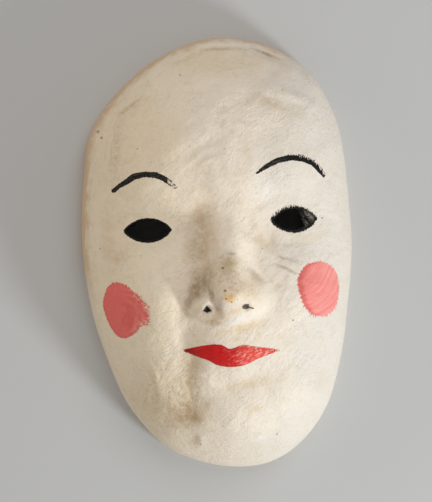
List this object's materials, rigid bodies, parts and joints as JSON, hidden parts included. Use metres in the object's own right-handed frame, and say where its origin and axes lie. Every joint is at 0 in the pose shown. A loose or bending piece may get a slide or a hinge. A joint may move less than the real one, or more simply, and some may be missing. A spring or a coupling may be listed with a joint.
{
  "type": "papier-mache mask",
  "caption": "Thin moulded full-face mask with open eyes, a raised nose and lips, and painted brows, cheeks and mouth; it lies face up on its rim.",
  "frame": {"origin": "in the plane of the rim, midway between crown and chin and midway between the temples", "axes": "+Z out of the face, +Y towards the crown, +X to the right as one looks at the face"},
  "size_m": [0.151, 0.24, 0.0776],
  "materials": {
    "painted_paper": "cream gesso with a low varnish sheen outside, raw layered paper inside"
  },
  "bodies": {
    "root": {"mask_shell": "painted_paper"}
  },
  "joints": []
}
